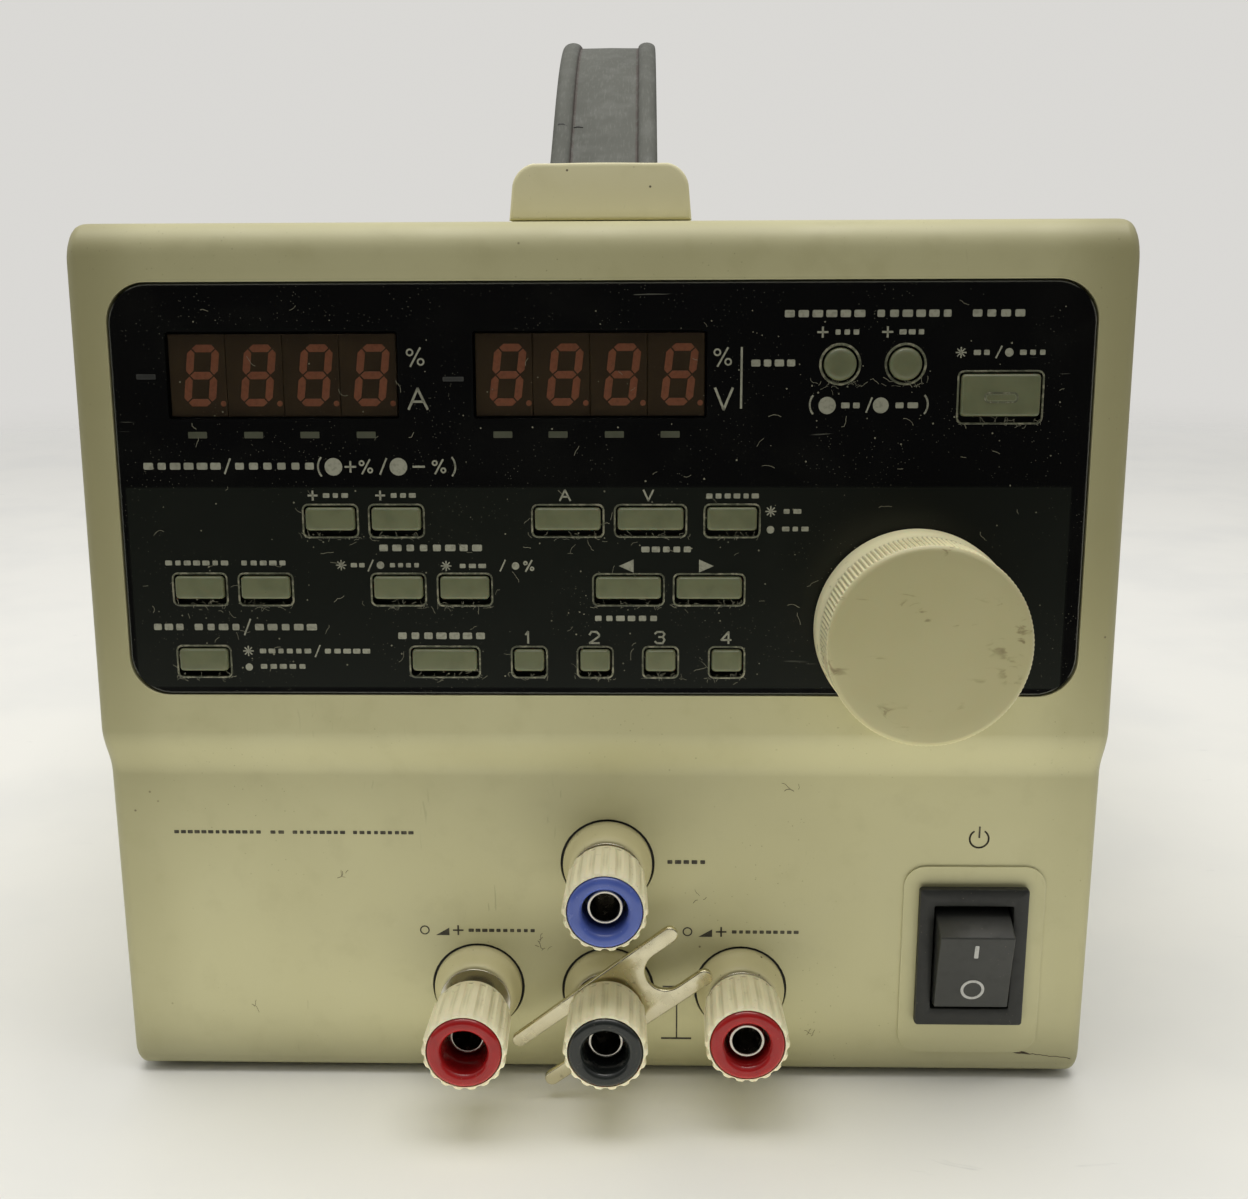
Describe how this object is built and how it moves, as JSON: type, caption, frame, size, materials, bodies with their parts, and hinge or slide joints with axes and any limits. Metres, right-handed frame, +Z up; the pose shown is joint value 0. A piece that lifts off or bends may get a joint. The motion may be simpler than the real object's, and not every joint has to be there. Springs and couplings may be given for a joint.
{
  "type": "bench power supply",
  "caption": "Bench power supply with LED displays, key panel, encoder knob, rocker switch, screw binding posts and a strap handle.",
  "frame": {"origin": "centre of the overall bounding box, on the plane of the feet undersides", "axes": "+X to the right seen from the front, +Y from the front panel to the back, +Z up"},
  "size_m": [0.1414, 0.2182, 0.1574],
  "materials": {
    "frame_plastic": "moulded olive beige plastic, fine texture",
    "case_paint": "fine textured olive beige paint",
    "fascia_black": "gloss black printed panel",
    "display_filter": "dark brown display face",
    "board_green": "green circuit board",
    "plated_steel": "zinc plated sheet",
    "heat_sink_aluminium": "extruded, natural",
    "switch_black": "charcoal moulded plastic",
    "handle_grey": "matt grey rubber",
    "foot_rubber": "black rubber",
    "post_cream": "cream moulded plastic",
    "nickel": "nickel plate, slightly dulled",
    "shaft_steel": "turned steel",
    "knob_cream": "cream moulded plastic",
    "key_green": "grey green silicone rubber keys",
    "ring_red": "red ring",
    "ring_black": "black ring",
    "ring_blue": "blue ring"
  },
  "bodies": {
    "root": {"front_bezel": "frame_plastic", "fascia_panel": "fascia_black", "led_module_current": "display_filter", "led_module_voltage": "display_filter", "control_board": "board_green", "chassis_tray": "plated_steel", "top_cover": "case_paint", "rear_panel": "plated_steel", "heat_sink": "heat_sink_aluminium", "transformer": "plated_steel", "regulator_board": "board_green", "ac_inlet": "switch_black", "handle_strap": "handle_grey", "handle_cap_front": "frame_plastic", "handle_cap_rear": "frame_plastic", "foot_front_left": "foot_rubber", "foot_front_right": "foot_rubber", "foot_rear_left": "foot_rubber", "foot_rear_right": "foot_rubber", "rocker_housing": "switch_black", "post_collar_red_left": "post_cream", "post_collar_black": "post_cream", "post_collar_red_right": "post_cream", "post_collar_blue": "post_cream", "post_stud_red_left": "nickel", "post_stud_black": "nickel", "post_stud_red_right": "nickel", "post_stud_blue": "nickel"},
    "knob": {"encoder_knob": "knob_cream", "encoder_shaft": "shaft_steel"},
    "rocker": {"rocker_actuator": "switch_black"},
    "link": {"shorting_link": "nickel"},
    "key_display_1": {"key_display_1": "key_green"},
    "key_display_2": {"key_display_2": "key_green"},
    "key_current": {"key_current": "key_green"},
    "key_voltage": {"key_voltage": "key_green"},
    "key_delay": {"key_delay": "key_green"},
    "key_status": {"key_status": "key_green"},
    "key_limit": {"key_limit": "key_green"},
    "key_tracking": {"key_tracking": "key_green"},
    "key_track_mode": {"key_track_mode": "key_green"},
    "key_digit_left": {"key_digit_left": "key_green"},
    "key_digit_right": {"key_digit_right": "key_green"},
    "key_lock": {"key_lock": "key_green"},
    "key_memory": {"key_memory": "key_green"},
    "key_preset_1": {"key_preset_1": "key_green"},
    "key_preset_2": {"key_preset_2": "key_green"},
    "key_preset_3": {"key_preset_3": "key_green"},
    "key_preset_4": {"key_preset_4": "key_green"},
    "key_output_main": {"key_output_main": "key_green"},
    "key_output_1": {"key_output_1": "key_green"},
    "key_output_2": {"key_output_2": "key_green"},
    "ring_red_left": {"post_ring_red_left": "ring_red"},
    "cap_red_left": {"post_cap_red_left": "post_cream"},
    "ring_black": {"post_ring_black": "ring_black"},
    "cap_black": {"post_cap_black": "post_cream"},
    "ring_red_right": {"post_ring_red_right": "ring_red"},
    "cap_red_right": {"post_cap_red_right": "post_cream"},
    "ring_blue": {"post_ring_blue": "ring_blue"},
    "cap_blue": {"post_cap_blue": "post_cream"}
  },
  "joints": [
    {"name": "display_1_press", "type": "slide", "parent": "root", "child": "key_display_1", "axis": [0, 0.9996, -0.0297], "range_m": [0, 0.0008]},
    {"name": "display_2_press", "type": "slide", "parent": "root", "child": "key_display_2", "axis": [0, 0.9996, -0.0297], "range_m": [0, 0.0008]},
    {"name": "current_press", "type": "slide", "parent": "root", "child": "key_current", "axis": [0, 0.9996, -0.0297], "range_m": [0, 0.0008]},
    {"name": "voltage_press", "type": "slide", "parent": "root", "child": "key_voltage", "axis": [0, 0.9996, -0.0297], "range_m": [0, 0.0008]},
    {"name": "delay_press", "type": "slide", "parent": "root", "child": "key_delay", "axis": [0, 0.9996, -0.0297], "range_m": [0, 0.0008]},
    {"name": "status_press", "type": "slide", "parent": "root", "child": "key_status", "axis": [0, 0.9996, -0.0297], "range_m": [0, 0.0008]},
    {"name": "limit_press", "type": "slide", "parent": "root", "child": "key_limit", "axis": [0, 0.9996, -0.0297], "range_m": [0, 0.0008]},
    {"name": "tracking_press", "type": "slide", "parent": "root", "child": "key_tracking", "axis": [0, 0.9996, -0.0297], "range_m": [0, 0.0008]},
    {"name": "track_mode_press", "type": "slide", "parent": "root", "child": "key_track_mode", "axis": [0, 0.9996, -0.0297], "range_m": [0, 0.0008]},
    {"name": "digit_left_press", "type": "slide", "parent": "root", "child": "key_digit_left", "axis": [0, 0.9996, -0.0297], "range_m": [0, 0.0008]},
    {"name": "digit_right_press", "type": "slide", "parent": "root", "child": "key_digit_right", "axis": [0, 0.9996, -0.0297], "range_m": [0, 0.0008]},
    {"name": "lock_press", "type": "slide", "parent": "root", "child": "key_lock", "axis": [0, 0.9996, -0.0297], "range_m": [0, 0.0008]},
    {"name": "memory_press", "type": "slide", "parent": "root", "child": "key_memory", "axis": [0, 0.9996, -0.0297], "range_m": [0, 0.0008]},
    {"name": "preset_1_press", "type": "slide", "parent": "root", "child": "key_preset_1", "axis": [0, 0.9996, -0.0297], "range_m": [0, 0.0008]},
    {"name": "preset_2_press", "type": "slide", "parent": "root", "child": "key_preset_2", "axis": [0, 0.9996, -0.0297], "range_m": [0, 0.0008]},
    {"name": "preset_3_press", "type": "slide", "parent": "root", "child": "key_preset_3", "axis": [0, 0.9996, -0.0297], "range_m": [0, 0.0008]},
    {"name": "preset_4_press", "type": "slide", "parent": "root", "child": "key_preset_4", "axis": [0, 0.9996, -0.0297], "range_m": [0, 0.0008]},
    {"name": "output_main_press", "type": "slide", "parent": "root", "child": "key_output_main", "axis": [0, 0.9996, -0.0297], "range_m": [0, 0.0008]},
    {"name": "output_1_press", "type": "slide", "parent": "root", "child": "key_output_1", "axis": [0, 0.9996, -0.0297], "range_m": [0, 0.0008]},
    {"name": "output_2_press", "type": "slide", "parent": "root", "child": "key_output_2", "axis": [0, 0.9996, -0.0297], "range_m": [0, 0.0008]},
    {"name": "knob_spin", "type": "hinge", "parent": "root", "child": "knob", "pos_m": [0.0427, -0.0932, 0.0702], "axis": [0, -0.9996, 0.0297], "continuous": true},
    {"name": "power_rocker", "type": "hinge", "parent": "root", "child": "rocker", "pos_m": [0.0534, -0.08805, 0.0205], "axis": [-1, 0, 0], "range_deg": [0, 22]},
    {"name": "link_swing", "type": "hinge", "parent": "root", "child": "link", "pos_m": [0.0008, -0.09675, 0.0142], "axis": [0, -1, 0], "range_deg": [0, 15]},
    {"name": "red_left_advance", "type": "slide", "parent": "root", "child": "ring_red_left", "axis": [0, -1, 0], "range_m": [-0.0028, 0.0004]},
    {"name": "red_left_screw", "type": "hinge", "parent": "ring_red_left", "child": "cap_red_left", "pos_m": [-0.0183, -0.10115, 0.0147], "axis": [0, -1, 0], "range_deg": [-1260, 180]},
    {"name": "black_advance", "type": "slide", "parent": "root", "child": "ring_black", "axis": [0, -1, 0], "range_m": [-0.0004, 0.0016]},
    {"name": "black_screw", "type": "hinge", "parent": "ring_black", "child": "cap_black", "pos_m": [0.0008, -0.10115, 0.0142], "axis": [0, -1, 0], "range_deg": [-180, 720]},
    {"name": "red_right_advance", "type": "slide", "parent": "root", "child": "ring_red_right", "axis": [0, -1, 0], "range_m": [0, 0.0032]},
    {"name": "red_right_screw", "type": "hinge", "parent": "ring_red_right", "child": "cap_red_right", "pos_m": [0.0202, -0.10115, 0.0145], "axis": [0, -1, 0], "range_deg": [0, 1440]},
    {"name": "blue_advance", "type": "slide", "parent": "root", "child": "ring_blue", "axis": [0, -1, 0], "range_m": [-0.0004, 0.0028]},
    {"name": "blue_screw", "type": "hinge", "parent": "ring_blue", "child": "cap_blue", "pos_m": [0.0008, -0.10115, 0.0342], "axis": [0, -1, 0], "range_deg": [-180, 1260]}
  ],
  "couplings": [
    {"joint": "red_left_screw", "follows": "red_left_advance", "rad_per_m": 7854},
    {"joint": "black_screw", "follows": "black_advance", "rad_per_m": 7854},
    {"joint": "red_right_screw", "follows": "red_right_advance", "rad_per_m": 7854},
    {"joint": "blue_screw", "follows": "blue_advance", "rad_per_m": 7854}
  ]
}
